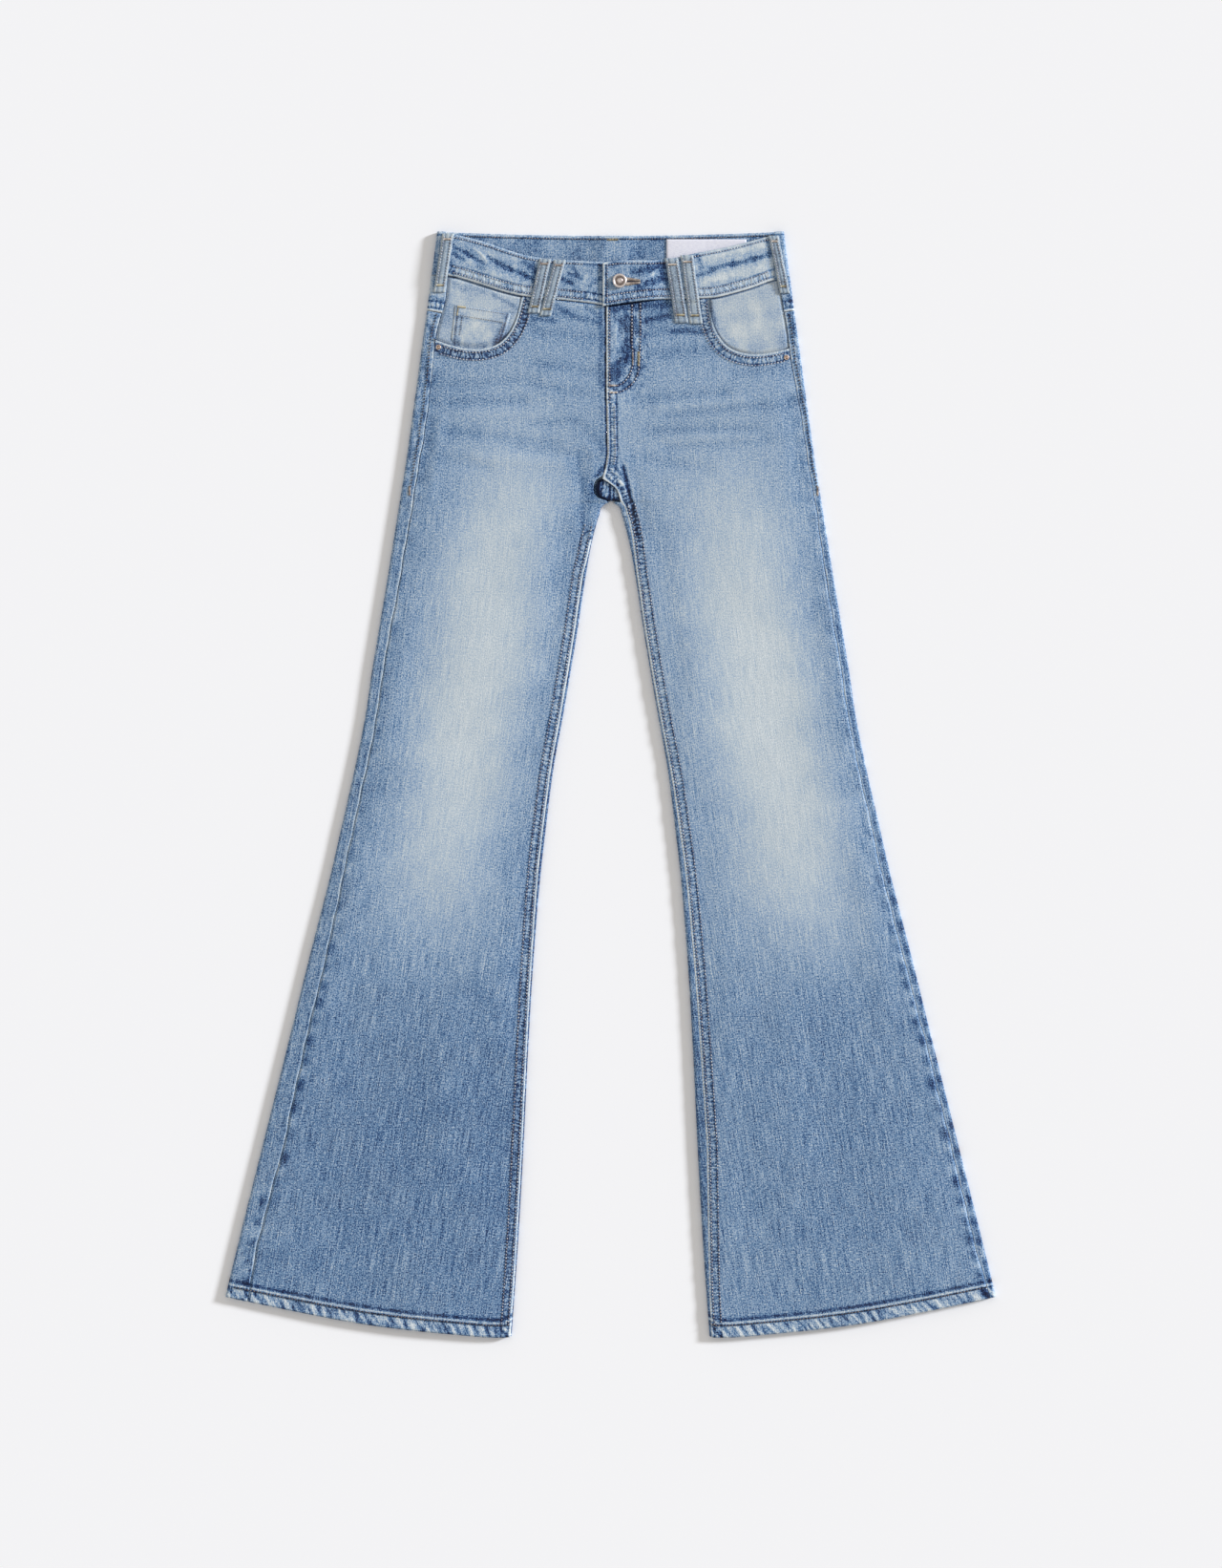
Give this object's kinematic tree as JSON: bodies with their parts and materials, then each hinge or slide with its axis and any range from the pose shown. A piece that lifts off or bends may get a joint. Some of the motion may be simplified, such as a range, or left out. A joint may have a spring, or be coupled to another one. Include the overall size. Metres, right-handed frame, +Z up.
{
  "type": "flared jeans",
  "caption": "Low-rise flared denim jeans laid flat with the front up, with scooped front pockets, paired belt loops and a buttoned waistband.",
  "frame": {"origin": "centre of the bounding box on the surface that the jeans lie on", "axes": "+Y from the hems to the waist, +X to the right of the garment seen from above, +Z up from the surface, out of the front"},
  "size_m": [0.7832, 1.1223, 0.0116],
  "materials": {
    "denim": "washed light blue denim with a pale fade down the thighs",
    "pocket_denim": "faded pale denim",
    "loop_denim": "washed light blue denim, edge-stitched",
    "button_metal": "antique nickel, worn bright on its raised ring",
    "rivet_metal": "dull copper",
    "zip_metal": "matt brass on cotton tape",
    "label_tape": "smooth white woven tape, blank"
  },
  "bodies": {
    "root": {"waistband_back": "denim", "waistband_front_left": "denim", "waistband_front_right": "denim", "front_left": "denim", "front_right": "denim", "back_left": "denim", "back_right": "denim", "yoke_left": "denim", "yoke_right": "denim", "pocket_facing_left": "pocket_denim", "pocket_facing_right": "pocket_denim", "coin_pocket": "pocket_denim", "belt_loop_side_left": "loop_denim", "belt_loop_side_right": "loop_denim", "belt_loop_front_left_outer": "loop_denim", "belt_loop_front_left_inner": "loop_denim", "belt_loop_front_right_inner": "loop_denim", "belt_loop_front_right_outer": "loop_denim", "belt_loop_back": "loop_denim", "button": "button_metal", "rivet_left": "rivet_metal", "rivet_right": "rivet_metal", "zip": "zip_metal", "label": "label_tape"}
  },
  "joints": []
}
